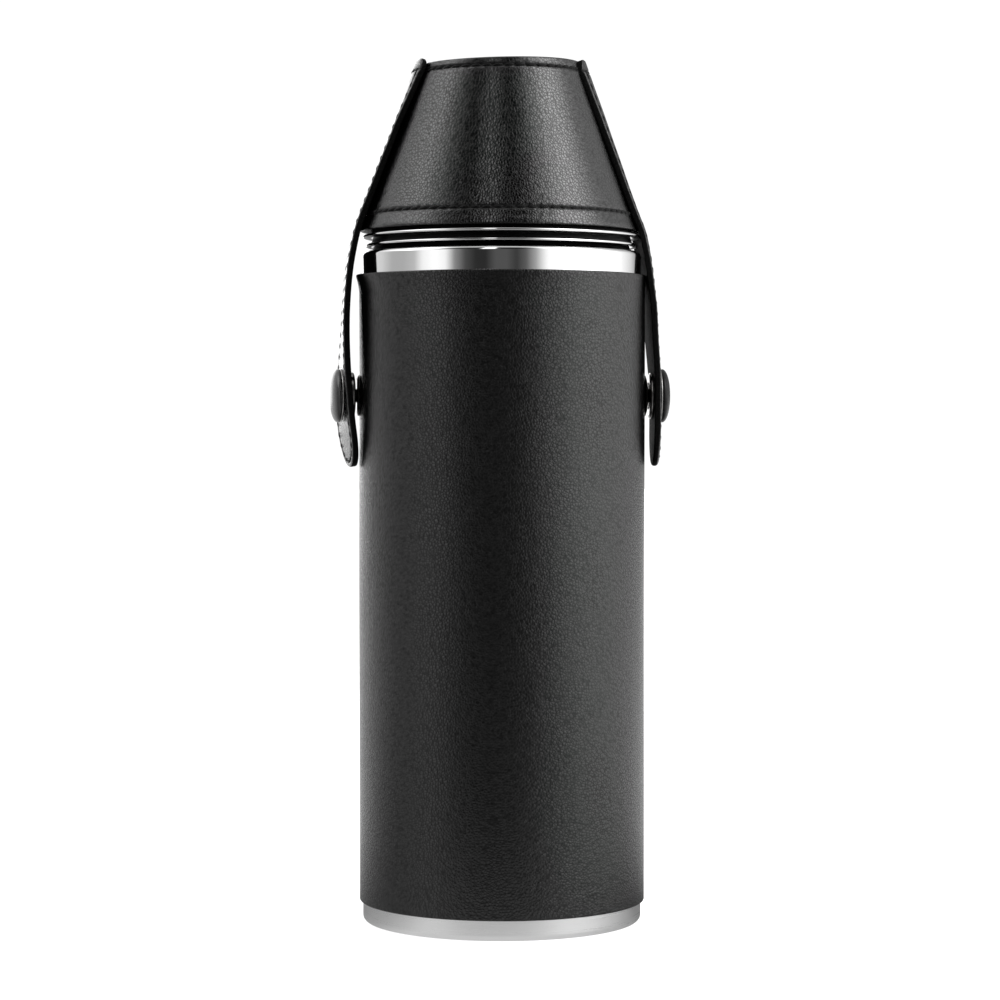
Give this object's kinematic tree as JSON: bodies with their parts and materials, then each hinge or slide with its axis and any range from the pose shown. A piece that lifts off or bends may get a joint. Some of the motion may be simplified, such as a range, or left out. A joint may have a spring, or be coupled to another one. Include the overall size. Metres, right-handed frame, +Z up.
{
  "type": "leather-covered steel flask with nesting cups",
  "caption": "Cylindrical steel drinking flask in a black leather sleeve, with nesting steel cups over its screw cap under a tapered leather cover held by press-stud straps.",
  "frame": {"origin": "centre of the foot, on the surface the flask stands on", "axes": "+Z up along the bottle; the two straps lie on +X and -X; the sleeve's seam is at the back, on +Y"},
  "size_m": [0.095, 0.08, 0.2404],
  "materials": {
    "satin_steel": "satin, brushed round",
    "polished_steel": "mirror polished",
    "sleeve_leather": "black pebble grain, soft sheen",
    "cover_leather": "black pebble grain, glossy",
    "suede": "black suede lining",
    "thread": "black waxed thread",
    "black_enamel": "gloss black enamel",
    "dark_nickel": "dark nickel plate",
    "black_plastic": "black",
    "silicone": "off-white silicone"
  },
  "bodies": {
    "flask": {"base_pan": "satin_steel", "body_tube": "satin_steel", "shoulder": "polished_steel", "neck": "satin_steel", "sleeve": "sleeve_leather", "snap_stud_left": "dark_nickel", "snap_stud_right": "dark_nickel", "stud_post_left": "dark_nickel", "stud_post_right": "dark_nickel"},
    "cap_seal": {"cap_gasket": "silicone"},
    "cap": {"cap_shell": "polished_steel", "cap_liner": "black_plastic"},
    "inner_cup": {"inner_cup": "polished_steel"},
    "outer_cup": {"outer_cup": "polished_steel"},
    "cover": {"cover_wall": "cover_leather", "cover_lining": "suede", "cover_crown": "cover_leather", "cover_crown_thread": "thread", "cover_hem_thread": "thread", "strap_root_left": "cover_leather", "strap_root_right": "cover_leather", "strap_root_thread_left": "thread", "strap_root_thread_right": "thread"},
    "strap_left": {"strap_tail_left": "cover_leather", "strap_tail_thread_left": "thread", "snap_cap_left": "black_enamel", "snap_socket_left": "dark_nickel", "snap_spring_left": "dark_nickel"},
    "strap_right": {"strap_tail_right": "cover_leather", "strap_tail_thread_right": "thread", "snap_cap_right": "black_enamel", "snap_socket_right": "dark_nickel", "snap_spring_right": "dark_nickel"}
  },
  "joints": [
    {"name": "cap_rise", "type": "slide", "parent": "flask", "child": "cap_seal", "axis": [0, 0, 1], "range_m": [0, 0.012]},
    {"name": "cap_turn", "type": "hinge", "parent": "cap_seal", "child": "cap", "pos_m": [0, 0, 0.204], "axis": [0, 0, 1], "range_deg": [0, 1080]},
    {"name": "inner_cup_lift", "type": "slide", "parent": "flask", "child": "inner_cup", "axis": [0, 0, 1], "range_m": [0, 0.06]},
    {"name": "outer_cup_lift", "type": "slide", "parent": "inner_cup", "child": "outer_cup", "axis": [0, 0, 1], "range_m": [0, 0.06]},
    {"name": "cover_lift", "type": "slide", "parent": "outer_cup", "child": "cover", "axis": [0, 0, 1], "range_m": [0, 0.06]},
    {"name": "strap_left_swing", "type": "hinge", "parent": "cover", "child": "strap_left", "pos_m": [-0.041, 0, 0.1935], "axis": [0, 1, 0], "range_deg": [0, 110]},
    {"name": "strap_right_swing", "type": "hinge", "parent": "cover", "child": "strap_right", "pos_m": [0.041, 0, 0.1935], "axis": [0, -1, 0], "range_deg": [0, 110]}
  ],
  "couplings": [
    {"joint": "cap_turn", "follows": "cap_rise", "rad_per_m": 1570.8}
  ]
}
